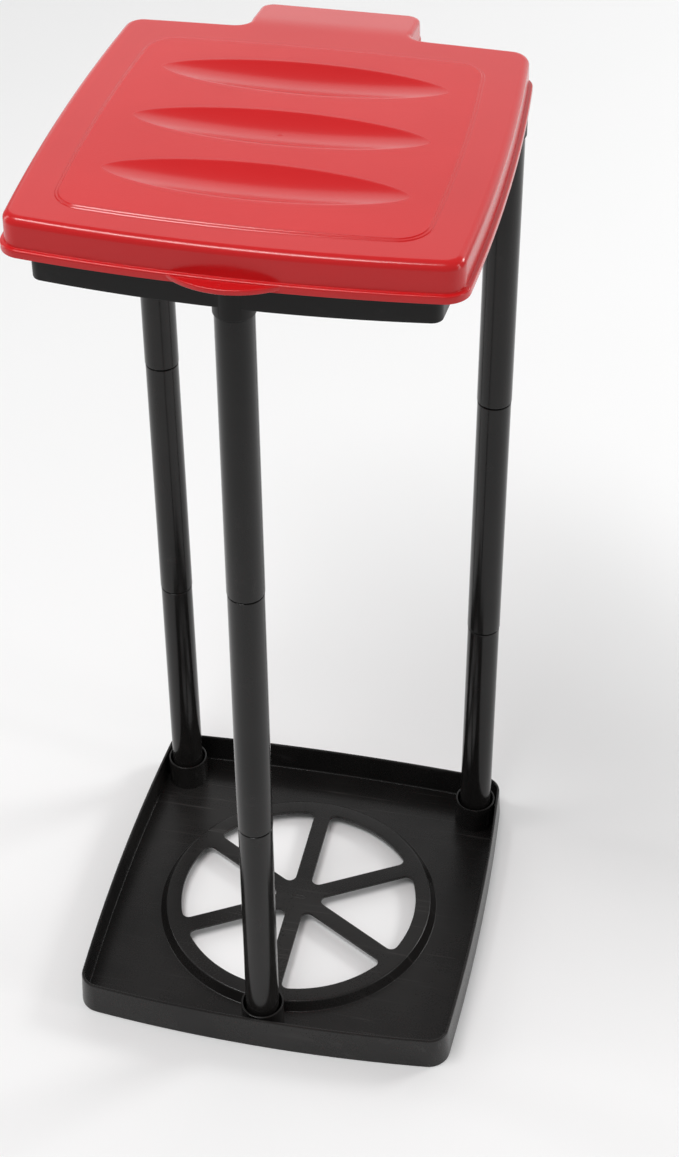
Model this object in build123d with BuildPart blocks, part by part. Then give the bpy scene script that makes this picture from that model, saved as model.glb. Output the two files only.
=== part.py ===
from build123d import *
import os

os.makedirs("parts", exist_ok=True)

# Free-standing bag stand: tray base, three sectional legs, bag frame, hinged lid.
# Frame: +Z up, front (finger tab) faces -Y, origin under the middle of the whole
# object at floor level.  All lengths in millimetres.

# ---------------------------------------------------------------- overall sizes
total_height = 660.4          # floor to the top of the lid
overall_width = 279.4         # across the tray, the widest part
total_depth = 323.85          # finger tab to the back of the hinge hood

# the tray's own centre lies this far from the origin along Y
fore = -10.075

# ---------------------------------------------------------------- base tray
base_floor_t = 2.5            # floor of the tray
base_rim_z = 26.5             # top of the tray wall
base_wall_t = 2.2
base_hw, base_yf, base_yb = 134.9, fore - 131.9, fore + 135.3   # corner points of the outline
base_ss, base_sf, base_sb = overall_width / 2 - 134.9, 7.9, 4.6   # bulge of sides, front, back
base_draft = 1.4              # the wall leans in by this much at the rim
base_corner_r = 16.0
disc_y = fore - 3.7                 # centre of the raised spoked disc
disc_r_foot, disc_r_top = 104.8, 99.6
disc_top_z = 9.6
disc_t = 2.4
spoke_r = 88.8                # outer radius of the openings
spoke_w = 12.6
spoke_corner_r = 5.0
cup_od, cup_id, cup_top_z = 30.4, 27.4, 25.5       # ring around each leg socket

# ---------------------------------------------------------------- leg tubes
tube_len = 202.0              # shoulder to lower end
tube_od_low, tube_od_top = 23.8, 23.1
tube_bore = 20.5              # lower, female end
spigot_od, spigot_len, spigot_id = 20.4, 22.0, 17.6
socket_depth = 24.0
leg_front = (0.0, fore - 119.6)
leg_back_x, leg_back_y = 117.0, fore + 110.9

leg_z0 = base_floor_t
leg_z1 = leg_z0 + tube_len
leg_z2 = leg_z1 + tube_len
leg_z3 = leg_z2 + tube_len    # shoulder under the frame's collars

# ---------------------------------------------------------------- bag frame
frame_z0 = 616.0              # lower edge of the skirt
frame_rim_z = 656.9           # the lid rests just above this
frame_hw, frame_yf, frame_yb = 115.4, fore - 122.3, fore + 116.6
frame_ss, frame_sf, frame_sb = 4.8, 7.9, 4.2
frame_corner_r = 7.0
frame_wall_t = 2.4
flange_z, flange_t = 638.2, 2.4     # outward flange that the bag folds over
flange_hw, flange_yf, flange_yb = 123.4, fore - 127.2, fore + 119.4
collar_od = 24.8
collar_top_z = 635.6          # the collars end just under the lid's lip

# ---------------------------------------------------------------- lid
lid_z0 = 636.4                # lower edge of the lip
lip_h, lip_out = 5.0, 2.6
lid_t = 2.2
panel_rise = 1.0
lid_border_z = total_height - panel_rise
lid_hw, lid_yf, lid_yb = 130.2, fore - 133.6, fore + 127.4
lid_ss, lid_sf, lid_sb = 4.8, 7.9, 4.0
lid_corner_r = 15.0
lid_edge_r = 5.0
panel_hw, panel_yf, panel_yb = 104.6, fore - 112.6, fore + 99.4
panel_ss, panel_sf, panel_sb = 4.0, 6.0, 3.0
panel_corner_r = 20.0
hollow_len, hollow_w, hollow_d = 176.0, 40.0, 4.4
hollow_ys = (fore + 59.0, fore - 4.5, fore - 68.0)
tab_w = 64.0
tab_tip_y = fore - 151.85
tab_z, tab_t, tab_bead, tab_bead_w = 638.2, 2.2, 1.2, 1.6
tab_root_y = fore - 140.4
hood_hw = 52.5
hood_back_y = tab_tip_y + total_depth
hood_z0 = 637.4
hood_top_back_z = 654.5
hood_bend_y = fore + 134.0
hood_fillet = 8.0             # concave corners where the hood leaves the lid
hood_root_y = fore + 100.0      # the hood's form starts inside the lid

# ---------------------------------------------------------------- hinge
pin_y, pin_z = fore + 158.0, 642.4
pin_d, pin_len = 4.0, 92.0
pin_clear = 0.05
knuckle_r = 5.0
arm_x0, arm_x1 = 38.0, 44.0
knuckle_x0, knuckle_x1 = 30.0, 37.5


def barrel(z, hw, yf, yb, ss, sf, sb, r):
    """Rectangle with four outward-bowed sides and rounded corners at height z."""
    ym = (yf + yb) / 2
    with BuildSketch(Plane.XY.offset(z)) as sk:
        with BuildLine():
            ThreePointArc((-hw, yf), (0, yf - sf), (hw, yf))
            ThreePointArc((hw, yf), (hw + ss, ym), (hw, yb))
            ThreePointArc((hw, yb), (0, yb + sb), (-hw, yb))
            ThreePointArc((-hw, yb), (-hw - ss, ym), (-hw, yf))
        make_face()
        fillet(sk.vertices(), r)
    return sk.sketch


def inset_barrel(z, d, hw, yf, yb, ss, sf, sb, r):
    return barrel(z, hw - d, yf + d, yb - d, ss, sf, sb, max(r - d, 2.0))


BASE = (base_hw, base_yf, base_yb, base_ss, base_sf, base_sb, base_corner_r)
FRAME = (frame_hw, frame_yf, frame_yb, frame_ss, frame_sf, frame_sb, frame_corner_r)
FLANGE = (flange_hw, flange_yf, flange_yb, frame_ss, frame_sf, frame_sb, 14.0)
LID = (lid_hw, lid_yf, lid_yb, lid_ss, lid_sf, lid_sb, lid_corner_r)
PANEL = (panel_hw, panel_yf, panel_yb, panel_ss, panel_sf, panel_sb, panel_corner_r)

leg_points = {
    "front": leg_front,
    "left": (-leg_back_x, leg_back_y),
    "right": (leg_back_x, leg_back_y),
}
all_legs = list(leg_points.values())

# ================================================================ base tray
with BuildPart() as base_tray:
    # outer form, slightly wider at the floor than at the rim
    loft(sections=[barrel(0, *BASE), inset_barrel(base_rim_z, base_draft, *BASE)])
    # tray interior
    loft(
        sections=[
            inset_barrel(base_floor_t, base_wall_t + 2.6, *BASE),
            inset_barrel(base_floor_t + 3.2, base_wall_t + 0.5, *BASE),
        ],
        mode=Mode.SUBTRACT,
    )
    loft(
        sections=[
            inset_barrel(base_floor_t + 3.2, base_wall_t + 0.5, *BASE),
            inset_barrel(base_rim_z + 0.01, base_wall_t + base_draft, *BASE),
        ],
        mode=Mode.SUBTRACT,
    )
    # raised disc with a sloping edge
    with BuildSketch(Plane.XZ.offset(-disc_y)) as disc_profile:
        with BuildLine():
            Polyline(
                (0, 1.0), (disc_r_foot, 1.0), (disc_r_foot, base_floor_t),
                (disc_r_foot - 1.2, base_floor_t + 0.6),
                (disc_r_top + 1.0, disc_top_z - 0.7),
                (disc_r_top - 0.4, disc_top_z), (0, disc_top_z), (0, 1.0),
            )
        make_face()
    revolve(axis=Axis((0, disc_y, 0), (0, 0, 1)))
    # hollow under the disc
    with BuildSketch(Plane.XZ.offset(-disc_y)) as under_profile:
        with BuildLine():
            Polyline(
                (0, 0), (disc_r_foot - 2.6, 0), (disc_r_top - 2.4, disc_top_z - disc_t),
                (0, disc_top_z - disc_t), (0, 0),
            )
        make_face()
    revolve(axis=Axis((0, disc_y, 0), (0, 0, 1)), mode=Mode.SUBTRACT)
    # six rounded openings between the spokes
    with BuildSketch(Plane.XY) as opening:
        with Locations((0, disc_y)):
            Circle(spoke_r)
            with PolarLocations(0, 3, start_angle=30, angular_range=180):
                Rectangle(2.2 * spoke_r, spoke_w, mode=Mode.SUBTRACT)
        fillet(opening.vertices(), spoke_corner_r)
    extrude(amount=disc_top_z + 2, mode=Mode.SUBTRACT)
    # socket rings and the posts that the tubes push onto
    with BuildSketch(Plane.XY.offset(1.0)) as cups:
        with Locations(*all_legs):
            Circle(cup_od / 2)
    extrude(amount=cup_top_z - 1.0)
    with BuildSketch(Plane.XY.offset(base_floor_t)) as cup_bores:
        with Locations(*all_legs):
            Circle(cup_id / 2)
            Circle(spigot_od / 2, mode=Mode.SUBTRACT)
    extrude(amount=40, mode=Mode.SUBTRACT)
    with BuildSketch(Plane.XY.offset(0)) as posts_hollow:
        with Locations(*all_legs):
            Circle(spigot_id / 2)
    extrude(amount=base_floor_t + spigot_len - 2.0, mode=Mode.SUBTRACT)
    # the posts stand a little lower than the rings
    with BuildSketch(Plane.XY.offset(base_floor_t + spigot_len)) as post_trim:
        with Locations(*all_legs):
            Circle(cup_id / 2)
    extrude(amount=20, mode=Mode.SUBTRACT)

base_tray.part.label = "base_tray"

# ================================================================ leg tubes
def leg_tube(x, y, z):
    """Moulded tube: tapered body, open lower end, reduced spigot on top."""
    with BuildPart() as tube:
        with BuildSketch(Plane.XZ.offset(-y)) as profile:
            with BuildLine():
                Polyline(
                    (x + tube_bore / 2, z), (x + tube_od_low / 2 - 0.3, z),
                    (x + tube_od_low / 2, z + 0.3),
                    (x + tube_od_top / 2, z + tube_len - 0.3),
                    (x + tube_od_top / 2 - 0.3, z + tube_len),
                    (x + spigot_od / 2, z + tube_len),
                    (x + spigot_od / 2, z + tube_len + spigot_len - 1.0),
                    (x + spigot_od / 2 - 0.8, z + tube_len + spigot_len),
                    (x + spigot_id / 2, z + tube_len + spigot_len),
                    (x + spigot_id / 2, z + socket_depth + 3.0),
                    (x + tube_bore / 2, z + socket_depth),
                    (x + tube_bore / 2, z),
                )
            make_face()
        revolve(axis=Axis((x, y, 0), (0, 0, 1)))
    return tube


for side, (lx, ly) in leg_points.items():
    for level, z_low in (("lower", leg_z0), ("middle", leg_z1), ("upper", leg_z2)):
        tube = leg_tube(lx, ly, z_low)
        tube.part.label = f"leg_{side}_{level}"
        export_step(tube.part, f"parts/leg_{side}_{level}.step")

# ================================================================ bag frame
# the bag mouth, as a solid that leaves the collars
with BuildPart() as mouth_form:
    extrude(inset_barrel(frame_z0 - 10, frame_wall_t, *FRAME), amount=80)
    with BuildSketch(Plane.XY.offset(leg_z3 - 5)) as keep:
        with Locations(*all_legs):
            Circle(collar_od / 2)
    extrude(amount=collar_top_z - leg_z3 + 5, mode=Mode.SUBTRACT)

with BuildPart() as bag_frame:
    # upright wall round the bag mouth
    extrude(barrel(frame_z0, *FRAME), amount=frame_rim_z - frame_z0)
    # flange that the bag's edge folds over
    extrude(barrel(flange_z, *FLANGE), amount=flange_t)
    # collars over the legs
    with BuildSketch(Plane.XY.offset(leg_z3)) as collars:
        with Locations(*all_legs):
            Circle(collar_od / 2)
    extrude(amount=collar_top_z - leg_z3)
    add(mouth_form.part, mode=Mode.SUBTRACT)
    # bores for the top spigots
    with BuildSketch(Plane.XY.offset(leg_z3)) as bores:
        with Locations(*all_legs):
            Circle(tube_bore / 2)
    extrude(amount=spigot_len + 1.5, mode=Mode.SUBTRACT)
    # hinge arms at the back
    for sx in (-1, 1):
        with BuildSketch(Plane.YZ.offset(sx * (arm_x0 + arm_x1) / 2)) as arm:
            with BuildLine():
                Polyline(
                    (frame_yb + 1.5, flange_z), (pin_y, pin_z - knuckle_r),
                    (pin_y, pin_z + knuckle_r), (frame_yb + 1.5, 652.0),
                    (frame_yb + 1.5, flange_z),
                )
            make_face()
            with Locations((pin_y, pin_z)):
                Circle(knuckle_r)
                Circle(pin_d / 2, mode=Mode.SUBTRACT)
        extrude(amount=(arm_x1 - arm_x0) / 2, both=True)
bag_frame.part.label = "bag_frame"

# ================================================================ hinge pin
with BuildPart() as hinge_pin:
    with BuildSketch(Plane.YZ.offset(-pin_len / 2)) as pin_section:
        with Locations((pin_y, pin_z)):
            Circle(pin_d / 2)
    extrude(amount=pin_len)
    chamfer(hinge_pin.edges().filter_by(GeomType.CIRCLE), 0.5)
hinge_pin.part.label = "hinge_pin"

# ================================================================ lid
hood_slope = (lid_border_z - hood_top_back_z) / (hood_back_y - hood_bend_y)


def hood_inner_z(y):
    """Height of the hood's inner skin at depth y."""
    return lid_border_z - lid_t - hood_slope * (y - hood_bend_y)


# outer form of the hood over the hinge
with BuildPart() as hood_form:
    with BuildSketch(Plane.YZ) as hood_side:
        with BuildLine():
            Polyline(
                (hood_root_y, hood_z0), (hood_back_y, hood_z0), (hood_back_y, hood_top_back_z),
                (hood_bend_y, lid_border_z), (hood_root_y, lid_border_z), (hood_root_y, hood_z0),
            )
        make_face()
    extrude(amount=hood_hw + hood_fillet, both=True)
    # plan: straight sides that flare into the lid's rear edge
    flare_y = lid_yb + 2.6 + hood_fillet
    bend = hood_fillet * (1 - 0.5 ** 0.5)
    with BuildSketch(Plane.XY.offset(hood_z0 - 1)) as hood_plan:
        with BuildLine():
            Polyline((-hood_hw, flare_y), (-hood_hw, hood_back_y), (hood_hw, hood_back_y),
                     (hood_hw, flare_y))
            ThreePointArc((hood_hw, flare_y), (hood_hw + bend, flare_y - hood_fillet + bend),
                          (hood_hw + hood_fillet, flare_y - hood_fillet))
            Polyline((hood_hw + hood_fillet, flare_y - hood_fillet), (hood_hw + hood_fillet, hood_root_y),
                     (-hood_hw - hood_fillet, hood_root_y), (-hood_hw - hood_fillet, flare_y - hood_fillet))
            ThreePointArc((-hood_hw - hood_fillet, flare_y - hood_fillet),
                          (-hood_hw - bend, flare_y - hood_fillet + bend), (-hood_hw, flare_y))
        make_face()
    extrude(amount=40, mode=Mode.INTERSECT)
    fillet(
        hood_form.edges().filter_by(Axis.Z).group_by(Axis.Y)[-1], 9.0
    )
    # round the whole top edge, flares included, but not the fold or the root
    fillet(
        hood_form.faces().filter_by(lambda f: f.normal_at().Z > 0.5).edges()
        .filter_by(lambda e: abs(e.center().Y - hood_bend_y) > 0.5
                   and e.center().Y > hood_root_y + 1), 3.0
    )

# cavity of the hood
with BuildPart() as hood_void:
    with BuildSketch(Plane.YZ) as hood_void_side:
        with BuildLine():
            Polyline(
                (hood_root_y + 12, lid_z0 - 5), (hood_back_y - lid_t, lid_z0 - 5),
                (hood_back_y - lid_t, hood_top_back_z - lid_t),
                (hood_bend_y, lid_border_z - lid_t), (hood_root_y + 12, lid_border_z - lid_t),
                (hood_root_y + 12, lid_z0 - 5),
            )
        make_face()
    extrude(amount=hood_hw - lid_t, both=True)
    fillet(hood_void.edges().filter_by(Axis.Z).group_by(Axis.Y)[-1], 6.8)

# one lens-shaped hollow, as a spindle lying along X above the lid's top
spindle_h = ((hollow_w / 2) ** 2 / hollow_d - hollow_d) / 2


def spindle(y, grow):
    """Spindle whose lower skin is the hollow, offset outward by grow."""
    axis_z = total_height + spindle_h
    skin = []
    for i in range(-8, 9):
        u = i / 8
        skin.append((u * hollow_len / 2, spindle_h + hollow_d * (1 - u * u) ** 1.25 + grow))
    with BuildPart() as body:
        with BuildSketch(Plane(origin=(0, y, axis_z), x_dir=(1, 0, 0), z_dir=(0, 1, 0))):
            with BuildLine():
                Spline(*skin)
                Polyline(skin[-1], (hollow_len / 2, 0), (-hollow_len / 2, 0), skin[0])
            make_face()
        revolve(axis=Axis((0, y, axis_z), (1, 0, 0)))
    return body.part


hollow_cuts = [spindle(y, 0.0) for y in hollow_ys]
hollow_backs = [spindle(y, lid_t) for y in hollow_ys]

# the space inside the lid, less the skins under the hollows
with BuildPart() as lid_void:
    extrude(
        inset_barrel(lid_z0 - 1, lip_out + lid_t, *LID),
        amount=lid_border_z - lid_t - lid_z0 + 1,
    )
    fillet(lid_void.faces().sort_by(Axis.Z)[-1].edges(), 2.8)
    for body in hollow_backs:
        add(body, mode=Mode.SUBTRACT)

with BuildPart() as lid:
    # shell outside
    extrude(inset_barrel(lid_z0, lip_out, *LID), amount=lid_border_z - lid_z0)
    fillet(lid.faces().sort_by(Axis.Z)[-1].edges(), lid_edge_r)
    add(hood_form.part)
    # raised panel in two fine steps
    extrude(barrel(lid_border_z - 0.5, *PANEL), amount=0.5 + panel_rise / 2)
    extrude(inset_barrel(lid_border_z, 1.3, *PANEL), amount=panel_rise)
    # outward lip round the lower edge
    extrude(barrel(lid_z0, *LID), amount=lip_h)
    # finger tab at the front, with a bead along its edge
    with BuildSketch(Plane.XY.offset(tab_z)) as tab_plan:
        with BuildLine():
            ThreePointArc((-tab_w / 2, tab_root_y), (0, tab_tip_y), (tab_w / 2, tab_root_y))
            Line((tab_w / 2, tab_root_y), (-tab_w / 2, tab_root_y))
        make_face()
    extrude(amount=tab_t)
    with BuildSketch(Plane.XY.offset(tab_z)) as tab_edge:
        with BuildLine():
            ThreePointArc((-tab_w / 2, tab_root_y), (0, tab_tip_y), (tab_w / 2, tab_root_y))
            Line((tab_w / 2, tab_root_y), (tab_w / 2 - 3.2, tab_root_y))
            ThreePointArc(
                (tab_w / 2 - 3.2, tab_root_y), (0, tab_tip_y + tab_bead_w),
                (-tab_w / 2 + 3.2, tab_root_y),
            )
            Line((-tab_w / 2 + 3.2, tab_root_y), (-tab_w / 2, tab_root_y))
        make_face()
    extrude(amount=tab_t + tab_bead)
    # shell inside, open into the hood
    add(lid_void.part, mode=Mode.SUBTRACT)
    add(hood_void.part, mode=Mode.SUBTRACT)
    # the three hollows
    for body in hollow_cuts:
        add(body, mode=Mode.SUBTRACT)
    # knuckles that hang from the hood onto the pin
    for sx in (-1, 1):
        with BuildSketch(Plane.YZ.offset(sx * (knuckle_x0 + knuckle_x1) / 2)) as knuckle:
            with BuildLine():
                Polyline(
                    (pin_y - knuckle_r, pin_z), (pin_y + knuckle_r, pin_z),
                    (pin_y + knuckle_r, hood_inner_z(pin_y + knuckle_r) + 0.8),
                    (pin_y - knuckle_r, hood_inner_z(pin_y - knuckle_r) + 0.8),
                    (pin_y - knuckle_r, pin_z),
                )
            make_face()
            with Locations((pin_y, pin_z)):
                Circle(knuckle_r)
        extrude(amount=(knuckle_x1 - knuckle_x0) / 2, both=True)
        with BuildSketch(Plane.YZ.offset(sx * (knuckle_x0 + knuckle_x1) / 2)) as knuckle_bore:
            with Locations((pin_y, pin_z)):
                Circle(pin_d / 2 + pin_clear)
        extrude(amount=(knuckle_x1 - knuckle_x0) / 2, both=True, mode=Mode.SUBTRACT)
lid.part.label = "lid"

for piece in (base_tray, bag_frame, hinge_pin, lid):
    export_step(piece.part, f"parts/{piece.part.label}.step")
    bb = piece.part.bounding_box()
    print(piece.part.label, len(piece.part.solids()), bb.min, bb.max, round(piece.part.volume))
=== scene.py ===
import math

import bpy
import bmesh
import numpy as np
from mathutils import Matrix, Vector
from mathutils.geometry import delaunay_2d_cdt


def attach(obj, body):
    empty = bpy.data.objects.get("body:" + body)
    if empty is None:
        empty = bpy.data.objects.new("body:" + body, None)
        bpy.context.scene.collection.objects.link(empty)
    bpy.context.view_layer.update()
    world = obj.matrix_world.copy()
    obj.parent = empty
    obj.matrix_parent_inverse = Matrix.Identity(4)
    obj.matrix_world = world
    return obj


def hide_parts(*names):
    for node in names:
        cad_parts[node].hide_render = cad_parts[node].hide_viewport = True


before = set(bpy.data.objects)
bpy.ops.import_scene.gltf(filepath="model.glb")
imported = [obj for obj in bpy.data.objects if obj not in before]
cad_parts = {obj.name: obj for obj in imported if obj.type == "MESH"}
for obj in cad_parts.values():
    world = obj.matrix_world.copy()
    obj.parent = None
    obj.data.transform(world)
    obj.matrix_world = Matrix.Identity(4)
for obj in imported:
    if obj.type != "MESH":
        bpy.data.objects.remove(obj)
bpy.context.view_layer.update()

FORE = -10.075            # mm, the tray's centre along Y, as in the CAD
MM = 0.001


# ------------------------------------------------------------------ outlines
def arc_circle(a, m, b):
    """Centre and radius of the circle through three points."""
    (ax, ay), (bx, by), (cx, cy) = a, m, b
    d = 2 * (ax * (by - cy) + bx * (cy - ay) + cx * (ay - by))
    ux = ((ax**2 + ay**2) * (by - cy) + (bx**2 + by**2) * (cy - ay) + (cx**2 + cy**2) * (ay - by)) / d
    uy = ((ax**2 + ay**2) * (cx - bx) + (bx**2 + by**2) * (ax - cx) + (cx**2 + cy**2) * (bx - ax)) / d
    c = np.array([ux, uy])
    return c, float(np.hypot(*(np.array(a) - c)))


def meet(c1, r1, c2, r2, near):
    """Where two circles cross, nearest to a point."""
    d = c2 - c1
    L = np.hypot(*d)
    a = (r1**2 - r2**2 + L**2) / (2 * L)
    h = math.sqrt(max(r1**2 - a**2, 0.0))
    m = c1 + a * d / L
    p = [m + h * np.array([-d[1], d[0]]) / L, m - h * np.array([-d[1], d[0]]) / L]
    return min(p, key=lambda q: np.hypot(*(q - np.array(near))))


class Loop:
    """A closed plan outline as points P with outward unit normals N."""

    def __init__(self):
        self.P, self.N, self.tag = [], [], []

    def arc(self, c, r, a0, a1, n, sign=1.0, tag=0.0, last=False):
        for k in range(n + (1 if last else 0)):
            a = a0 + (a1 - a0) * k / n
            u = np.array([math.cos(a), math.sin(a)])
            self.P.append(c + r * u)
            self.N.append(sign * u)
            self.tag.append(tag)

    def line(self, p, q, nrm, n, tag=0.0):
        p, q = np.array(p, float), np.array(q, float)
        for k in range(n):
            self.P.append(p + (q - p) * k / n)
            self.N.append(np.array(nrm, float))
            self.tag.append(tag)

    def done(self):
        self.P, self.N, self.tag = np.array(self.P), np.array(self.N), np.array(self.tag)
        return self

    def at(self, off):
        return self.P + self.N * (off if np.isscalar(off) else np.asarray(off)[:, None])


def angle(c, p):
    return math.atan2(p[1] - c[1], p[0] - c[0])


def sides(hw, yf, yb, ss, sf, sb):
    ym = (yf + yb) / 2
    return {
        "front": arc_circle((-hw, yf), (0, yf - sf), (hw, yf)),
        "right": arc_circle((hw, yf), (hw + ss, ym), (hw, yb)),
        "back": arc_circle((hw, yb), (0, yb + sb), (-hw, yb)),
        "left": arc_circle((-hw, yb), (-hw - ss, ym), (-hw, yf)),
    }


def barrel(hw, yf, yb, ss, sf, sb, r, n=72, nc=20, grow=0.0, hood=None):
    """Rectangle with four bowed sides and rounded corners, counter-clockwise.
    hood = (half width, back y, concave radius, corner radius) adds a block at the back."""
    S = sides(hw, yf, yb, ss, sf, sb)
    S = {k: (c, R + grow) for k, (c, R) in S.items()}
    r = r + grow
    corner = {}
    for a, b, near in (("front", "right", (hw, yf)), ("right", "back", (hw, yb)),
                       ("back", "left", (-hw, yb)), ("left", "front", (-hw, yf))):
        corner[a, b] = meet(S[a][0], S[a][1] - r, S[b][0], S[b][1] - r, near)
    L = Loop()
    order = ["front", "right", "back", "left"]
    for i, k in enumerate(order):
        c, R = S[k]
        before, after = corner[order[i - 1], k], corner[k, order[(i + 1) % 4]]
        a0, a1 = angle(c, before), angle(c, after)
        if a1 < a0:
            a1 += 2 * math.pi
        if k == "back" and hood:
            hx, hy, rf, rc = hood
            fy = c[1] + math.sqrt((R + rf) ** 2 - (hx + rf) ** 2)
            fr, fl = np.array([hx + rf, fy]), np.array([-hx - rf, fy])
            # right part of the back edge, up to the concave fillet
            L.arc(c, R, a0, angle(c, fr), 26)
            s0 = angle(fr, c)                       # points back at the lid
            s0 = s0 if s0 > 0 else s0 + 2 * math.pi
            L.arc(fr, rf, s0, math.pi, 12, -1.0, 0.5)
            L.line((hx, fy), (hx, hy - rc), (1, 0), 14, 1.0)
            L.arc(np.array([hx - rc, hy - rc]), rc, 0, math.pi / 2, 14, 1.0, 1.0)
            L.line((hx - rc, hy), (-hx + rc, hy), (0, 1), 40, 1.0)
            L.arc(np.array([-hx + rc, hy - rc]), rc, math.pi / 2, math.pi, 14, 1.0, 1.0)
            L.line((-hx, hy - rc), (-hx, fy), (-1, 0), 14, 1.0)
            e1 = angle(fl, c)
            e1 = e1 if e1 < 0 else e1 - 2 * math.pi
            L.arc(fl, rf, 0.0, e1, 12, -1.0, 0.5)
            L.arc(c, R, angle(c, fl), a1, 26)
        else:
            L.arc(c, R, a0, a1, n)
        cc = after
        b0 = angle(c, cc)
        nxt = S[order[(i + 1) % 4]][0]
        b1 = angle(nxt, cc)
        if b1 < b0:
            b1 += 2 * math.pi
        L.arc(cc, r, b0, b1, nc)
    return L.done()


def circle(x, y, r, n=96, a0=0.0):
    t = a0 + np.arange(n) * 2 * math.pi / n
    return np.c_[x + r * np.cos(t), y + r * np.sin(t)]


# ------------------------------------------------------------------ mesh work
class Build:
    """Collects vertices in millimetres and faces, ring by ring."""

    def __init__(self):
        self.v, self.f = [], []

    def ring(self, xy, z):
        z = np.broadcast_to(np.asarray(z, float), (len(xy),))
        i0 = len(self.v)
        self.v += [(float(p[0]), float(p[1]), float(h)) for p, h in zip(xy, z)]
        return list(range(i0, len(self.v)))

    def point(self, x, y, z):
        self.v.append((float(x), float(y), float(z)))
        return len(self.v) - 1

    def bridge(self, a, b, closed=True):
        n = len(a)
        for i in range(n if closed else n - 1):
            j = (i + 1) % n
            self.f.append((a[i], a[j], b[j], b[i]))

    def rings(self, rows, closed_rows=False):
        """Bridges rings one after another; closed_rows joins the last to the first."""
        for a, b in zip(rows[:-1], rows[1:]):
            self.bridge(a, b)
        if closed_rows:
            self.bridge(rows[-1], rows[0])

    def fill(self, outer, holes=(), extra=None, zfun=None):
        """Triangles between an outer loop of vertices and holes, with extra inner points."""
        loops = [list(outer)] + [list(h) for h in holes]
        ids, edges, pts = [], [], []
        for lp in loops:
            k = len(pts)
            pts += [Vector(self.v[i][:2]) for i in lp]
            ids += lp
            edges += [(k + i, k + (i + 1) % len(lp)) for i in range(len(lp))]
        polys = [np.array([self.v[i][:2] for i in lp]) for lp in loops]
        if extra is not None:
            keep = [p for p in extra if inside(polys[0], p) and not any(inside(h, p) for h in polys[1:])]
            for p in keep:
                near = min(np.min(np.hypot(*(q - p).T)) for q in polys)
                if near > 1.2:
                    ids.append(self.point(p[0], p[1], zfun(p[0], p[1])))
                    pts.append(Vector(p))
        vo, eo, fo, ov, oe, of_ = delaunay_2d_cdt(pts, edges, [], 0, 1e-6)
        back = {}
        for n_, src in enumerate(ov):
            back[n_] = ids[src[0]] if src else None
        for tri in fo:
            c = sum((vo[i] for i in tri), Vector((0, 0))) / len(tri)
            c = np.array(c)
            if not inside(polys[0], c) or any(inside(h, c) for h in polys[1:]):
                continue
            t = [back[i] for i in tri]
            if None in t:
                continue
            self.f.append(tuple(t))

    def disc(self, loop):
        self.fill(loop)

    def lathe(self, x, y, profile, n=72, closed=True, axis="z"):
        """Revolves (radius, height) pairs about a line through (x, y)."""
        rows = []
        for r, h in profile:
            if axis == "z":
                rows.append(self.ring(circle(x, y, r, n), h))
            else:
                t = np.arange(n) * 2 * math.pi / n
                i0 = len(self.v)
                self.v += [(float(h), float(x + r * math.cos(a)), float(y + r * math.sin(a))) for a in t]
                rows.append(list(range(i0, len(self.v))))
        self.rings(rows, closed)
        return rows

    def object(self, name, angle_deg=35.0):
        me = bpy.data.meshes.new(name)
        me.from_pydata([(a * MM, b * MM, c * MM) for a, b, c in self.v], [], self.f)
        bm = bmesh.new()
        bm.from_mesh(me)
        bmesh.ops.remove_doubles(bm, verts=bm.verts, dist=2e-6)
        bmesh.ops.dissolve_degenerate(bm, dist=1e-6, edges=bm.edges)
        bmesh.ops.recalc_face_normals(bm, faces=bm.faces)
        bm.to_mesh(me)
        bm.free()
        ob = bpy.data.objects.new(name, me)
        bpy.context.scene.collection.objects.link(ob)
        smooth(me, angle_deg)
        return ob


def inside(poly, p):
    x, y = p[0], p[1]
    a, b = poly, np.roll(poly, -1, axis=0)
    cond = (a[:, 1] > y) != (b[:, 1] > y)
    with np.errstate(divide="ignore", invalid="ignore"):
        xi = (b[:, 0] - a[:, 0]) * (y - a[:, 1]) / (b[:, 1] - a[:, 1]) + a[:, 0]
    return bool(np.count_nonzero(cond & (x < xi)) % 2)


def smooth(me, angle_deg):
    me.polygons.foreach_set("use_smooth", [True] * len(me.polygons))
    me.set_sharp_from_angle(angle=math.radians(angle_deg))


def weighted(ob):
    m = ob.modifiers.new("weighted", "WEIGHTED_NORMAL")
    m.weight = 60
    m.keep_sharp = True
    return ob


def baked(ob):
    """Applies an object's modifiers to its mesh."""
    dg = bpy.context.evaluated_depsgraph_get()
    dg.update()
    me = bpy.data.meshes.new_from_object(ob.evaluated_get(dg))
    ob.modifiers.clear()
    ob.data = me
    return ob


def combine(base, others, how):
    for o in others:
        m = base.modifiers.new("cut", "BOOLEAN")
        m.operation = how
        m.solver = "EXACT"
        m.object = o
    bpy.context.view_layer.update()
    baked(base)
    for o in others:
        bpy.data.objects.remove(o)
    return base


def join(target, parts):
    """Adds other meshes to target's mesh as further shells."""
    bm = bmesh.new()
    bm.from_mesh(target.data)
    for p in parts:
        bm.from_mesh(p.data)
    bm.to_mesh(target.data)
    bm.free()
    for p in parts:
        bpy.data.objects.remove(p)
    return target


LEGS = {"front": (0.0, FORE - 119.6), "left": (-117.0, FORE + 110.9), "right": (117.0, FORE + 110.9)}

# ------------------------------------------------------------------ materials
def nodes_of(name):
    mat = bpy.data.materials.new(name)
    mat.use_nodes = True
    nt = mat.node_tree
    nt.nodes.clear()
    out = nt.nodes.new("ShaderNodeOutputMaterial")
    bsdf = nt.nodes.new("ShaderNodeBsdfPrincipled")
    nt.links.new(bsdf.outputs[0], out.inputs[0])
    return mat, nt, bsdf


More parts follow.
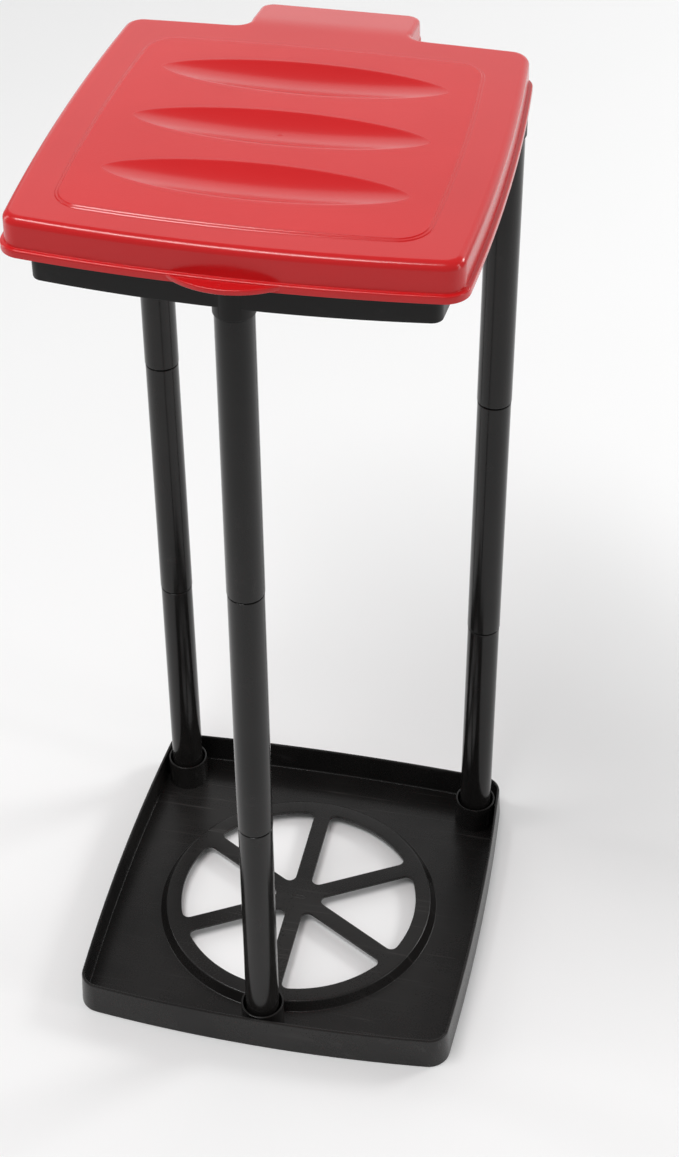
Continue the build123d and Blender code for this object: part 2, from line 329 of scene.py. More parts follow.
def add(nt, kind, **kw):
    n = nt.nodes.new(kind)
    for k, v in kw.items():
        if k.startswith("in_"):
            key = k[3:]
            n.inputs[int(key) if key.isdigit() else key.replace("_", " ")].default_value = v
        else:
            setattr(n, k, v)
    return n


def coords(nt, scale=(1, 1, 1), rot=(0, 0, 0)):
    tc = nt.nodes.new("ShaderNodeTexCoord")
    mp = nt.nodes.new("ShaderNodeMapping")
    mp.inputs["Scale"].default_value = scale
    mp.inputs["Rotation"].default_value = rot
    nt.links.new(tc.outputs["Object"], mp.inputs["Vector"])
    return mp.outputs[0]


def noise(nt, vec, scale, detail=3.0, rough=0.5, dist=0.0):
    n = add(nt, "ShaderNodeTexNoise", in_Scale=scale, in_Detail=detail, in_Roughness=rough, in_Distortion=dist)
    nt.links.new(vec, n.inputs["Vector"])
    return n.outputs["Fac"]


def ramp(nt, fac, stops):
    r = nt.nodes.new("ShaderNodeValToRGB")
    e = r.color_ramp.elements
    while len(e) < len(stops):
        e.new(0.5)
    for i, (p, c) in enumerate(stops):
        e[i].position = p
        e[i].color = (c, c, c, 1) if np.isscalar(c) else (*c, 1)
    nt.links.new(fac, r.inputs[0])
    return r.outputs[0]


def maths(nt, op, a, b=None, c=None, clamp=False):
    m = nt.nodes.new("ShaderNodeMath")
    m.operation = op
    m.use_clamp = clamp
    for i, x in enumerate((a, b, c)):
        if x is None:
            continue
        if hasattr(x, "links"):
            nt.links.new(x, m.inputs[i])
        else:
            m.inputs[i].default_value = x
    return m.outputs[0]


def mixc(nt, fac, a, b):
    m = nt.nodes.new("ShaderNodeMix")
    m.data_type = "RGBA"
    for s, x in ((0, fac), (6, a), (7, b)):
        if hasattr(x, "links"):
            nt.links.new(x, m.inputs[s])
        elif s == 0:
            m.inputs[s].default_value = x
        else:
            m.inputs[s].default_value = (*x, 1)
    return m.outputs[2]


def bump(nt, height, strength, dist, normal=None):
    b = add(nt, "ShaderNodeBump", in_Strength=strength, in_Distance=dist)
    nt.links.new(height, b.inputs["Height"])
    if normal is not None:
        nt.links.new(normal, b.inputs["Normal"])
    return b.outputs[0]


def black_plastic(name, base=(0.0065, 0.006, 0.0058), light=(0.014, 0.013, 0.0125), rough=(0.30, 0.42),
                  scuffs=0.0, grain=0.25, fine=2600.0, streak=(1, 1, 1), spec=0.26):
    mat, nt, b = nodes_of(name)
    o = coords(nt)
    blotch = noise(nt, o, 14.0, 4.0, 0.6)
    speck = noise(nt, o, 900.0, 2.0, 0.6)
    col = mixc(nt, ramp(nt, blotch, [(0.35, 0.0), (0.75, 0.55)]), base, light)
    col = mixc(nt, ramp(nt, speck, [(0.62, 0.0), (0.80, 0.35)]), col, light)
    rg = maths(nt, "MULTIPLY_ADD", blotch, rough[1] - rough[0], rough[0])
    rg = maths(nt, "MULTIPLY_ADD", speck, 0.05, rg)
    h = noise(nt, o, fine, 2.0, 0.55)
    nrm = bump(nt, h, grain, 0.00006)
    wav = noise(nt, coords(nt, streak), 22.0, 2.0, 0.5)
    nrm = bump(nt, wav, 0.25, 0.0006, nrm)
    if scuffs:
        # long thin rubs from handling, in two directions
        total = None
        for rot, sc, thr in (((0, 0, 0.9), (9, 260, 40), 0.66), ((0, 0, -0.35), (7, 330, 40), 0.68),
                             ((0, 0, 1.5), (14, 420, 60), 0.69)):
            s = noise(nt, coords(nt, sc, rot), 1.0, 4.0, 0.62, 0.15)
            s = ramp(nt, s, [(thr - 0.05, 0.0), (thr + 0.05, 1.0)])
            total = s if total is None else maths(nt, "MAXIMUM", total, s)
        patch = ramp(nt, noise(nt, o, 9.0, 3.0, 0.6), [(0.42, 0.05), (0.66, 1.0)])
        total = maths(nt, "MULTIPLY", total, patch)
        amt = maths(nt, "MULTIPLY", total, scuffs)
        col = mixc(nt, amt, col, (0.16, 0.15, 0.145))
        rg = maths(nt, "MULTIPLY_ADD", amt, 0.25, rg)
        haze = ramp(nt, noise(nt, o, 5.0, 4.0, 0.6), [(0.4, 0.0), (0.8, 0.30)])
        col = mixc(nt, haze, col, (0.05, 0.047, 0.045))
    nt.links.new(col, b.inputs["Base Color"])
    nt.links.new(rg, b.inputs["Roughness"])
    nt.links.new(nrm, b.inputs["Normal"])
    b.inputs["IOR"].default_value = 1.45
    b.inputs["Specular IOR Level"].default_value = spec
    return mat


def red_plastic(name, base, deep, rough, grain, fine, dist):
    mat, nt, b = nodes_of(name)
    o = coords(nt)
    cloud = noise(nt, o, 9.0, 4.0, 0.55)
    col = mixc(nt, ramp(nt, cloud, [(0.3, 0.0), (0.75, 0.8)]), base, deep)
    speck = noise(nt, o, 700.0, 2.0, 0.6)
    col = mixc(nt, ramp(nt, speck, [(0.60, 0.0), (0.85, 0.25)]), col, deep)
    # very faint hairlines from wiping
    s = noise(nt, coords(nt, (14, 900, 60), (0, 0, 0.5)), 1.0, 3.0, 0.55)
    s = ramp(nt, s, [(0.62, 0.0), (0.80, 0.05)])
    rg = maths(nt, "MULTIPLY_ADD", cloud, 0.08, rough)
    rg = maths(nt, "MULTIPLY_ADD", s, 0.6, rg)
    h = noise(nt, o, fine, 2.0, 0.6)
    nrm = bump(nt, h, grain, dist)
    wav = noise(nt, o, 26.0, 2.0, 0.5)
    nrm = bump(nt, wav, 0.12, 0.0005, nrm)
    nt.links.new(col, b.inputs["Base Color"])
    nt.links.new(rg, b.inputs["Roughness"])
    nt.links.new(nrm, b.inputs["Normal"])
    b.inputs["IOR"].default_value = 1.48
    b.inputs["Specular IOR Level"].default_value = 0.46
    b.inputs["Subsurface Weight"].default_value = 0.0
    return mat


def steel(name):
    mat, nt, b = nodes_of(name)
    s = noise(nt, coords(nt, (40, 900, 900)), 1.0, 3.0, 0.6)
    nt.links.new(mixc(nt, s, (0.44, 0.44, 0.45), (0.62, 0.62, 0.61)), b.inputs["Base Color"])
    nt.links.new(maths(nt, "MULTIPLY_ADD", s, 0.2, 0.22), b.inputs["Roughness"])
    nt.links.new(bump(nt, s, 0.2, 0.00004), b.inputs["Normal"])
    b.inputs["Metallic"].default_value = 1.0
    return mat


M_TUBE = black_plastic("tube plastic", rough=(0.12, 0.20), grain=0.08, streak=(1, 1, 0.15), scuffs=0.06, spec=0.34)
M_TRAY = black_plastic("tray plastic", rough=(0.20, 0.30), scuffs=0.22, grain=0.16, spec=0.36)
M_FRAME = black_plastic("frame plastic", base=(0.007, 0.0065, 0.0065), light=(0.013, 0.012, 0.012),
                        rough=(0.32, 0.44), grain=0.3, scuffs=0.05)
M_RED = red_plastic("lid plastic", (0.575, 0.010, 0.012), (0.52, 0.008, 0.010), 0.17, 0.08, 1800.0, 0.00003)
M_GRAIN = red_plastic("lid grained panel", (0.60, 0.012, 0.014), (0.54, 0.010, 0.012), 0.30, 0.45, 1150.0, 0.00010)
M_STEEL = steel("pin steel")


def give(ob, *mats):
    ob.data.materials.clear()
    for m in mats:
        ob.data.materials.append(m)
    return ob


# ------------------------------------------------------------------ legs
def tube(name, node, x, y, z):
    r0, r1, rs, rb, ri = 11.9, 11.55, 10.2, 10.25, 8.8
    L, sp = 202.0, 22.0
    prof = [(rb + 0.15, 0.6), (r0 - 1.35, 0.55), (r0 - 0.75, 0.7), (r0 - 0.22, 1.05), (r0, 1.6)]
    prof += [(r0 + (r1 - r0) * t, 1.6 + (L - 2.5) * t) for t in (0.1, 0.3, 0.5, 0.7, 0.9)]
    prof += [(r1, L - 0.85), (r1 - 0.16, L - 0.4), (r1 - 0.6, L - 0.1), (rs + 0.15, L - 0.05), (rs, L + 0.25),
             (rs, L + sp - 1.2), (rs - 0.3, L + sp - 0.4), (rs - 0.9, L + sp), (ri + 0.2, L + sp), (ri, L + sp - 0.2),
             (ri, 27.5), (rb - 0.3, 24.3), (rb, 23.9), (rb, 0.75)]
    b = Build()
    b.lathe(x, y, [(r, z + h) for r, h in prof], 96)
    ob = b.object(name, 32)
    give(weighted(ob), M_TUBE)
    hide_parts(node)
    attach(ob, "stand")
    return ob


for side, (lx, ly) in LEGS.items():
    for i, level in enumerate(("lower", "middle", "upper")):
        tube(f"tube_{side}_{level}", f"leg_{side}_{level}", lx, ly, 2.5 + 202.0 * i)


# ------------------------------------------------------------------ tray
def tray():
    B = Build()
    O = barrel(134.9, FORE - 131.9, FORE + 135.3, 4.8, 7.9, 4.6, 16.0)
    def wall(z):
        return -1.4 * z / 26.5
    rows = []
    for off, z in ((-1.1, 0.0), (-0.45, 0.12), (-0.1, 0.45), (wall(1.1), 1.1), (wall(8), 8.0), (wall(16), 16.0),
                   (wall(25.2), 25.2), (wall(26) - 0.14, 25.95), (wall(26.3) - 0.5, 26.36), (wall(26.5) - 1.1, 26.5),
                   (wall(26.5) - 1.7, 26.36), (wall(26) - 2.06, 25.95), (wall(26) - 2.2, 25.2),
                   (-3.25, 16.0), (-2.95, 9.0), (-2.8, 4.0), (-2.9, 3.25), (-3.15, 2.75), (-3.5, 2.5)):
        rows.append(B.ring(O.at(off), z))
    B.rings(rows)
    bottom, floor = rows[0], rows[-1]
    dy = FORE - 3.7
    DZ = 9.6
    # spoked disc: sloping edge, rounded shoulder
    prof = [(105.2, 2.5), (104.6, 2.62), (104.1, 3.0), (100.9, DZ - 1.4), (100.5, DZ - 0.65), (99.9, DZ - 0.15), (99.1, DZ)]
    disc_rows = [B.ring(circle(0, dy, r, 192), z) for r, z in prof]
    B.rings(disc_rows)
    # six openings between the spokes
    def opening(k, grow):
        """Rounded sector between two spokes, grown outward by grow."""
        R, half, rc = 88.8 + grow, 6.3 - grow, 5.0 + grow
        a0, a1 = math.radians(-60), 0.0          # spokes at -60 and 0, turned below
        pts = []
        # inner corner, where the two spokes' edges meet at 60 degrees
        bis = math.radians(-30)
        d = (half + rc) / math.sin(math.radians(30))
        ic = d * np.array([math.cos(bis), math.sin(bis)])
        for t in np.linspace(math.radians(90), math.radians(90 + 120), 9):
            pts.append(ic + rc * np.array([math.cos(t), math.sin(t)]))
        # spoke at -60 degrees: out along it to the rim
        sdir = np.array([math.cos(a0), math.sin(a0)])
        snrm = np.array([-sdir[1], sdir[0]])      # towards the opening
        u = math.sqrt((R - rc) ** 2 - (half + rc) ** 2)
        oc = sdir * u + snrm * (half + rc)
        t0 = math.atan2(*(-snrm)[::-1])
        t1 = math.atan2(oc[1], oc[0])
        while t1 < t0:
            t1 += 2 * math.pi
        for t in np.linspace(t0, t1, 9):
            pts.append(oc + rc * np.array([math.cos(t), math.sin(t)]))
        # rim
        oc2 = np.array([u, -(half + rc)])
        e0, e1 = math.atan2(oc[1], oc[0]), math.atan2(oc2[1], oc2[0])
        for t in np.linspace(e0, e1, 30)[1:-1]:
            pts.append(R * np.array([math.cos(t), math.sin(t)]))
        for t in np.linspace(e1, math.pi / 2, 9):
            pts.append(oc2 + rc * np.array([math.cos(t), math.sin(t)]))
        th = math.radians(90 + 60 * k)
        c, s = math.cos(th), math.sin(th)
        return np.array([(p[0] * c - p[1] * s, p[0] * s + p[1] * c + dy) for p in pts])
    top_holes, low_holes = [], []
    for k in range(6):
        hr = []
        for g, z in ((0.45, DZ), (0.13, DZ - 0.13), (0.0, DZ - 0.45), (0.0, DZ - 2.05), (0.35, DZ - 2.4)):
            hr.append(B.ring(opening(k, g), z))
        B.rings(hr)
        top_holes.append(hr[0])
        low_holes.append(hr[-1])
    # hub mark: a shallow oblong recess
    t = np.arange(40) * 2 * math.pi / 40
    def oval(a, b_):
        return np.c_[a * np.sign(np.cos(t)) * np.abs(np.cos(t)) ** 0.8, dy + b_ * np.sin(t)]
    hub = [B.ring(oval(6.0, 1.7), DZ), B.ring(oval(5.7, 1.4), DZ - 0.3), B.ring(oval(5.3, 1.05), DZ - 0.45)]
    B.rings(hub)
    B.fill(hub[-1])
    B.fill(disc_rows[-1], top_holes + [hub[0]])
    # underside of the disc
    under = [B.ring(circle(0, dy, r, 192), z) for r, z in ((97.0, DZ - 2.4), (97.6, DZ - 2.55), (102.0, 0.5), (102.5, 0.0))]
    B.rings(under)
    B.fill(under[0], low_holes)
    # sockets
    floor_holes, bottom_holes = [disc_rows[0]], [under[-1]]
    for x, y in LEGS.values():
        rr = [B.ring(circle(x, y, r, 80), z) for r, z in (
            (15.3, 2.5), (15.2, 2.7), (15.2, 24.9), (15.05, 25.35), (14.75, 25.5), (14.15, 25.5), (13.85, 25.35),
            (13.7, 24.9), (13.7, 2.5), (10.2, 2.5), (10.2, 23.6), (9.8, 24.5), (9.0, 24.5), (8.8, 24.2), (8.8, 22.5))]
        B.rings(rr)
        B.fill(rr[-1])
        floor_holes.append(rr[0])
        ur = [B.ring(circle(x, y, r, 60), z) for r, z in ((9.0, 0.0), (8.8, 0.2), (8.8, 20.5))]
        B.rings(ur)
        B.fill(ur[-1])
        bottom_holes.append(ur[0])
    B.fill(floor, floor_holes)
    B.fill(bottom, bottom_holes)
    ob = B.object("tray", 34)
    return ob


tray_ob = tray()
give(weighted(tray_ob), M_TRAY)
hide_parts("base_tray")
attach(tray_ob, "stand")


# ------------------------------------------------------------------ bag frame
def bag_frame():
    W = barrel(115.4, FORE - 122.3, FORE + 116.6, 4.8, 7.9, 4.2, 7.0, nc=20)
    G = barrel(123.4, FORE - 127.2, FORE + 119.4, 4.8, 7.9, 4.2, 14.0, nc=20)
    B = Build()
    rows = []
    for which, off, z in (
        (W, 0, 616.7), (W, 0, 626), (W, 0, 637.9), (W, 0.3, 638.2), (G, -0.7, 638.2), (G, -0.2, 638.4), (G, 0, 638.9),
        (G, 0, 639.9), (G, -0.2, 640.4), (G, -0.7, 640.6), (W, 0.3, 640.6), (W, 0, 640.9), (W, 0, 656.2),
        (W, -0.2, 656.7), (W, -0.7, 656.9), (W, -1.7, 656.9), (W, -2.2, 656.7), (W, -2.4, 656.2), (W, -2.4, 640),
        (W, -2.4, 616.6), (W, -2.2, 616.15), (W, -1.7, 616.0), (W, -0.7, 616.0), (W, -0.2, 616.2)):
        rows.append(B.ring(which.at(off), z))
    B.rings(rows, True)
    ob = B.object("bag_mouth_frame")
    adds, cuts = [], []
    for k, (x, y) in enumerate(LEGS.values()):
        c = Build()
        pr = [(11.9, 608.5), (12.25, 608.62), (12.4, 609.0), (12.4, 635.1), (12.25, 635.45), (11.9, 635.6)]
        r = c.lathe(x, y, pr, 80, closed=False)
        c.fill(r[0]); c.fill(r[-1])
        adds.append(c.object(f"collar_{k}"))
        d = Build()
        r = d.lathe(x, y, [(10.9, 608.2), (10.25, 608.95), (10.25, 631.6), (9.9, 632.0)], 80, closed=False)
        d.fill(r[0]); d.fill(r[-1])
        cuts.append(d.object(f"bore_{k}"))
    for sx in (-1, 1):
        a = Build()
        py, pz, kr = FORE + 158.0, 642.4, 5.0
        y0 = FORE + 116.6 + 3.0
        t = np.radians(np.linspace(-90, 90, 15))
        prof = [(y0, 637.0)] + [(py + kr * math.cos(q), pz + kr * math.sin(q)) for q in t] + [(y0, 652.5)]
        def side(x, g):
            c = np.mean(prof, axis=0)
            i0 = len(a.v)
            for (yy, zz) in prof:
                d = np.array([yy, zz]) - c
                d = d * (1 - g / max(np.hypot(*d), 1))
                a.v.append((x, c[0] + d[0], c[1] + d[1]))
            return list(range(i0, len(a.v)))
        x0, x1 = sx * 38.0, sx * 44.0
        s = 1 if sx > 0 else -1
        ra = [side(x0, 0.5), side(x0 + s * 0.5, 0), side(x1 - s * 0.5, 0), side(x1, 0.5)]
        a.rings(ra)
        a.f.append(tuple(ra[0])); a.f.append(tuple(ra[-1]))
        adds.append(a.object(f"arm_{sx}"))
    combine(ob, adds, "UNION")
    combine(ob, cuts, "DIFFERENCE")
    bm = bmesh.new()
    bm.from_mesh(ob.data)
    bmesh.ops.remove_doubles(bm, verts=bm.verts, dist=2e-6)
    bmesh.ops.dissolve_degenerate(bm, dist=2e-6, edges=bm.edges)
    bmesh.ops.triangulate(bm, faces=[f for f in bm.faces if len(f.verts) > 4])
    bm.to_mesh(ob.data)
    bm.free()
    smooth(ob.data, 34)
    return ob


frame_ob = bag_frame()
give(weighted(frame_ob), M_FRAME)
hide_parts("bag_frame")
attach(frame_ob, "stand")

pb = Build()
rr = pb.lathe(FORE + 158.0, 642.4, [(0.6, -46), (1.55, -46), (1.88, -45.8), (2.0, -45.4), (2.0, -20), (2.0, 20),
                                     (2.0, 45.4), (1.88, 45.8), (1.55, 46), (0.6, 46)], 40, closed=False, axis="x")
pb.f.append(tuple(rr[0])); pb.f.append(tuple(rr[-1]))
pin = pb.object("pin")
give(weighted(pin), M_STEEL)
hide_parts("hinge_pin")
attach(pin, "stand")


# ------------------------------------------------------------------ lid
Z0, ZB, ZT = 636.4, 659.4, 660.4
HOOD_Y = FORE + 172.0 - 0.7
BEND = FORE + 134.0
SLOPE = (ZB - 654.5) / (HOOD_Y - BEND)


def top_z(x, y):
    """Height of the lid's upper skin: level, bending down smoothly over the hood."""
    w = 7.0
    q = y - BEND
    if q <= -w:
        return ZB
    if q >= w:
        return ZB - SLOPE * q
    return ZB - SLOPE * (q + w) ** 2 / (4 * w)


def lid():
    K = barrel(130.2 - 2.6, FORE - 133.6 + 2.6, FORE + 127.4 - 2.6, 4.8, 7.9, 4.0, 12.4,
               hood=(52.0, HOOD_Y, 8.0, 9.0))
    n = len(K.P)
    tag = K.tag.copy()
    # soften the change from the lid's edge to the hood's
    for _ in range(10):
        tag = (np.roll(tag, 1) + 2 * tag + np.roll(tag, -1)) / 4
    lip = 2.6 - 1.9 * tag
    z0 = Z0 + 1.0 * tag
    er = 5.0 - 1.8 * tag
    B = Build()
    rows = []
    T = np.array([top_z(*p) for p in K.P])
    ledge = z0 + 5.0
    def row(off, z):
        rows.append(B.ring(K.at(off), z))
    row(lip - 0.45, z0)
    row(lip - 0.13, z0 + 0.13)
    row(lip, z0 + 0.5)
    row(lip + 0.0, z0 + 2.4)
    row(lip - 0.02, ledge - 0.9)
    row(lip - 0.18, ledge - 0.42)
    row(lip - 0.55, ledge - 0.12)
    row(np.maximum(lip - 1.0, 0.42), ledge)
    row(np.minimum(0.62, lip - 0.4), ledge + 0.02)
    row(0.18, ledge + 0.2)
    row(0.0, ledge + 0.75)
    for t in (0.25, 0.5, 0.75):
        row(-0.25 * t, ledge + 0.75 + (T - er - ledge - 0.75) * t)
    for k in range(0, 13):
        a = math.pi / 2 * k / 12
        row(-0.25 - er * (1 - math.cos(a)), T - er + er * math.sin(a))
    # last ring follows the surface's slope
    for i, v in enumerate(rows[-1]):
        x, y, z = B.v[v]
        B.v[v] = (x, y, top_z(x, y))
    B.rings(rows)
    edge = rows[-1]
    # raised panel, two fine steps
    Q = barrel(104.6, FORE - 112.6, FORE + 99.4, 4.0, 6.0, 3.0, 20.0, n=80, nc=28)
    pr = []
    for off, z in ((0.2, ZB), (0.02, ZB + 0.04), (-0.42, ZB + 0.46), (-0.6, ZB + 0.50), (-1.55, ZB + 0.50),
                   (-1.73, ZB + 0.54), (-2.17, ZB + 0.96), (-2.35, ZT)):
        pr.append(B.ring(Q.at(off), z))
    B.rings(pr)
    gx, gy = np.meshgrid(np.arange(-51, 51.1, 3.0), np.arange(BEND - 13, HOOD_Y - 3, 2.5))
    extra = np.c_[gx.ravel(), gy.ravel()]
    B.fill(edge, [pr[0]], extra, top_z)
    # three lens-shaped hollows
    hl, hw_, hd = 88.0, 20.0, 4.4
    hh = (hw_**2 / hd - hd) / 2
    holes = []
    for yc in (FORE + 59.0, FORE - 4.5, FORE - 68.0):
        us = np.sin(np.linspace(-math.pi / 2, math.pi / 2, 121))
        vs = np.r_[np.linspace(-1.10, -0.9, 9), np.linspace(-0.85, 0.85, 25), np.linspace(0.9, 1.10, 9)]
        grid = []
        for u in us[1:-1]:
            d = hd * (1 - u * u) ** 1.25
            R = hh + d
            w = math.sqrt(R * R - hh * hh)
            col = []
            for v in vs:
                y = v * w
                D = math.sqrt(R * R - y * y) - hh
                k = 0.22 * min(1.0, d / 0.8)
                s = 0.5 * (D + math.sqrt(D * D + k * k))
                De = math.sqrt(R * R - (vs[0] * w) ** 2) - hh
                s -= 0.5 * (De + math.sqrt(De * De + k * k))
                col.append(B.point(u * hl, yc + y, ZT - max(s, 0.0)))
            grid.append(col)
        for a, b in zip(grid[:-1], grid[1:]):
            B.bridge(a, b, closed=False)
        pa, pb_ = B.point(-hl - 0.6, yc, ZT), B.point(hl + 0.6, yc, ZT)
        for i in range(len(vs) - 1):
            B.f.append((pa, grid[0][i], grid[0][i + 1]))
            B.f.append((pb_, grid[-1][i + 1], grid[-1][i]))
        loop = [pa] + [c[0] for c in grid] + [pb_] + [c[-1] for c in reversed(grid)]
        holes.append(loop)
    # gate mark in the middle of the lid: a small raised ring with a dimple
    gate_y = FORE - 4.5
    B.fill(pr[-1], holes)
    ob = B.object("lid_shell", 40)
    me = ob.data
    # material of the grained panel: level faces inside the panel's edge, hollows stay smooth
    give(ob, M_RED, M_GRAIN)
    Qp = Q.at(-2.3) * MM
    for p in me.polygons:
        c = p.center
        if abs(c.z - ZT * MM) < 2e-6 and inside(Qp, (c.x, c.y)):
            p.material_index = 1
    s = ob.modifiers.new("skin", "SOLIDIFY")
    s.thickness = 0.0022
    s.offset = -1.0 if normal_up(me) else 1.0
    s.use_even_offset = True
    s.use_quality_normals = True
    s.thickness_clamp = 0.0
    baked(ob)
    # keep the inner foot of the hood's rear wall as thin as the wall above it
    for v in ob.data.vertices:
        x, y, z = v.co / MM
        if abs(x) < 47.0 and z < 641.5 and FORE + 160.0 < y < FORE + 169.2:
            v.co.y = (FORE + 169.2) * MM
    smooth(ob.data, 40)
    return ob


def normal_up(me):
    """True if the lid's level skin faces up."""
    best = max(me.polygons, key=lambda p: p.area)
    return best.normal.z > 0


def finger_tab():
    B = Build()
    half, tip, root = 32.0, FORE - 151.80, FORE - 140.4
    c, R = arc_circle((-half, root), (0, tip), (half, root))
    back = FORE - 139.3
    hx = math.sqrt(R * R - (back - c[1]) ** 2)
    xs = np.sin(np.linspace(-math.pi / 2, math.pi / 2, 61)) * (hx - 0.05)
    grid = []
    z = 638.2
    prof = [(1.0, 0.0), (0.45, 0.1), (0.1, 0.45), (0.0, 1.0), (0.0, 2.6), (0.12, 3.05), (0.45, 3.33), (0.85, 3.4),
            (1.25, 3.3), (1.5, 3.0), (1.68, 2.5), (1.95, 2.24), (2.4, 2.2)]
    for x in xs:
        p = np.array([x, c[1] - math.sqrt(R * R - x * x)])
        nrm = (p - c) / R
        avail = max((back - p[1]), 0.02)
        col = []
        col.append(B.point(x, back, z))
        for d, h in prof:
            q = p - nrm * min(d, avail * 0.9)
            q[1] = min(q[1], back - 0.01)
            fade = min(1.0, avail / 3.5)
            hh_ = h if h <= 2.2 else 2.2 + (h - 2.2) * fade
            col.append(B.point(q[0], q[1], z + hh_))
        col.append(B.point(x, back, z + 2.2))
        grid.append(col)
    m = len(grid[0])
    for a, b in zip(grid[:-1], grid[1:]):
        B.bridge(a, b, closed=True)
    B.f.append(tuple(grid[0])); B.f.append(tuple(grid[-1]))
    ob = B.object("tab", 50)
    return ob


def gate(x, y, z):
    B = Build()
    r = B.lathe(x, y, [(1.7, z - 0.3), (1.6, z + 0.08), (1.25, z + 0.2), (0.85, z + 0.2), (0.55, z + 0.02), (0.2, z - 0.02)],
                28, closed=False)
    B.f.append(tuple(r[0])); B.f.append(tuple(r[-1]))
    return B.object("gate", 50)


def knuckle(sx):
    B = Build()
    py, pz, kr, br = FORE + 158.0, 642.4, 5.0, 2.05
    ztop = lambda y: top_z(0, y) - 2.2 + 0.8
    N = 64
    def outer_pt(a):
        ca, sa = math.cos(a), math.sin(a)
        if sa <= 0:
            return (py + kr * ca, pz + kr * sa)
        # straight sides up to the hood's skin
        if abs(ca) < 1e-9:
            return (py, ztop(py))
        t = kr / abs(ca)
        if pz + t * sa <= ztop(py + kr * np.sign(ca)):
            return (py + kr * np.sign(ca), pz + t * sa)
        lo, hi = 0.0, t
        for _ in range(40):
            mid = (lo + hi) / 2
            if pz + mid * sa > ztop(py + mid * ca):
                hi = mid
            else:
                lo = mid
        return (py + lo * ca, pz + lo * sa)
    angs = np.arange(N) * 2 * math.pi / N
    out = [outer_pt(a) for a in angs]
    def loop(x, g, r):
        i0 = len(B.v)
        for (yy, zz), a in zip(out, angs):
            d = np.array([yy - py, zz - pz])
            L = np.hypot(*d)
            q = d * (L - g) / L if r is None else r * np.array([math.cos(a), math.sin(a)])
            B.v.append((x, py + q[0], pz + q[1]))
        return list(range(i0, len(B.v)))
    x0, x1 = sx * 30.0, sx * 37.5
    s = sx
    rows = [loop(x0, 0.4, None), loop(x0 + s * 0.4, 0, None), loop(x1 - s * 0.4, 0, None), loop(x1, 0.4, None),
            loop(x1, 0, br + 0.3), loop(x1 - s * 0.3, 0, br), loop(x0 + s * 0.3, 0, br), loop(x0, 0, br + 0.3)]
    B.rings(rows, True)
    return B.object("knuckle", 40)


lid_ob = lid()
extras = [finger_tab(), gate(0, FORE - 4.5, ZT - 4.4 - 0.02), gate(-1.0, FORE - 145.6, 640.4), knuckle(-1), knuckle(1)]
for e in extras:
    give(e, M_RED)
join(lid_ob, extras)
lid_ob.name = "lid_skin"
weighted(lid_ob)
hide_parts("lid")
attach(lid_ob, "lid")


# ------------------------------------------------------------------ stage
def floor_material():
    mat, nt, b = nodes_of("floor")
    c = mixc(nt, noise(nt, coords(nt), 3.0, 3.0, 0.5), (0.88, 0.88, 0.88), (0.90, 0.90, 0.90))
    nt.links.new(c, b.inputs["Base Color"])
    b.inputs["Roughness"].default_value = 0.75
    return mat


me = bpy.data.meshes.new("floor")
me.from_pydata([(-8, -8, 0), (8, -8, 0), (8, 8, 0), (-8, 8, 0)], [], [(0, 1, 2, 3)])
floor_ob = bpy.data.objects.new("floor", me)
bpy.context.scene.collection.objects.link(floor_ob)
me.materials.append(floor_material())


def area(name, at, to, size, power, color=(1, 1, 1)):
    d = bpy.data.lights.new(name, "AREA")
    d.shape = "RECTANGLE"
    d.size, d.size_y = size
    d.energy = power
    d.color = color
    o = bpy.data.objects.new(name, d)
    bpy.context.scene.collection.objects.link(o)
    o.location = at
    o.visible_camera = False
    o.rotation_euler = (Vector(to) - Vector(at)).to_track_quat("-Z", "Y").to_euler()
    return o


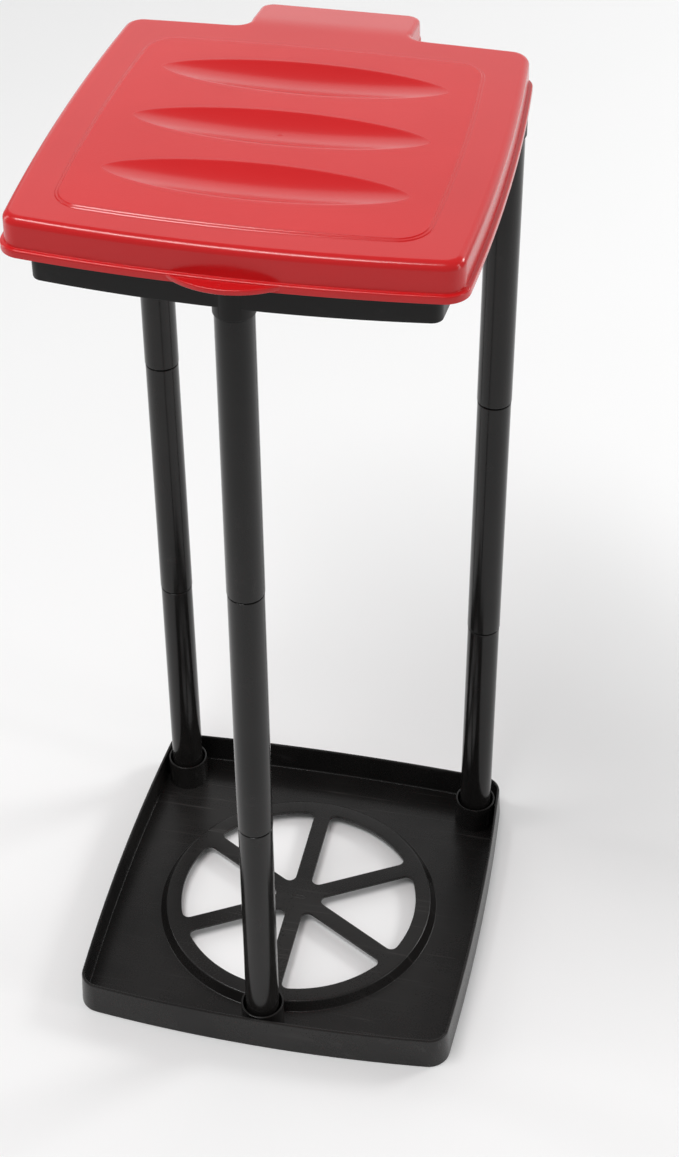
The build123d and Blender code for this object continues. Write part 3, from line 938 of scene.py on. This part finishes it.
area("backdrop", (0.0, 2.9, 1.4), (0, 0, 1.1), (4.4, 2.8), 31)
area("floor_wash", (1.9, 1.4, 1.5), (0.4, 1.25, 0.0), (0.8, 0.6), 22)
area("key", (-0.62, -0.75, 2.6), (0.0, 0.0, 0.6), (1.7, 0.40), 36)
area("side_left", (-2.0, 0.2, 1.0), (0, 0, 0.4), (0.35, 1.8), 7)
area("side_right", (2.0, -0.3, 0.9), (0, 0, 0.4), (0.3, 1.6), 6)
bpy.context.scene.view_settings.view_transform = "Standard"
bpy.context.scene.view_settings.look = "None"

world = bpy.data.worlds.new("studio")
bpy.context.scene.world = world
world.use_nodes = True
bg = world.node_tree.nodes["Background"]
bg.inputs[0].default_value = (1, 1, 1, 1)
bg.inputs[1].default_value = 0.36

# ------------------------------------------------------------------ camera
CAM = (265.774, -1099.321, 1250.52, 12.133, -37.793, -0.367, 2162.636, 337.806, 506.344)
cx, cy, cz, yaw, pitch, roll, f, u0, v0 = CAM
yaw, pitch, roll = (math.radians(a) for a in (yaw, pitch, roll))
fwd = Vector((-math.sin(yaw) * math.cos(pitch), math.cos(yaw) * math.cos(pitch), math.sin(pitch)))
right = Vector((math.cos(yaw), math.sin(yaw), 0.0))
up = right.cross(fwd)
r2 = right * math.cos(roll) + up * math.sin(roll)
u2 = -right * math.sin(roll) + up * math.cos(roll)
cam_data = bpy.data.cameras.new("camera")
cam = bpy.data.objects.new("camera", cam_data)
bpy.context.scene.collection.objects.link(cam)
m = Matrix.Identity(4)
for i in range(3):
    m[i][0], m[i][1], m[i][2] = r2[i], u2[i], -fwd[i]
m[0][3], m[1][3], m[2][3] = cx * MM, cy * MM, cz * MM
cam.matrix_world = m
cam_data.sensor_fit = "HORIZONTAL"
cam_data.sensor_width = 36.0
cam_data.lens = f * 36.0 / 679.0
cam_data.shift_x = (339.5 - u0) / 679.0
cam_data.shift_y = (v0 - 578.5) / 679.0
cam_data.clip_start = 0.01
cam_data.clip_end = 50.0
bpy.context.scene.camera = cam
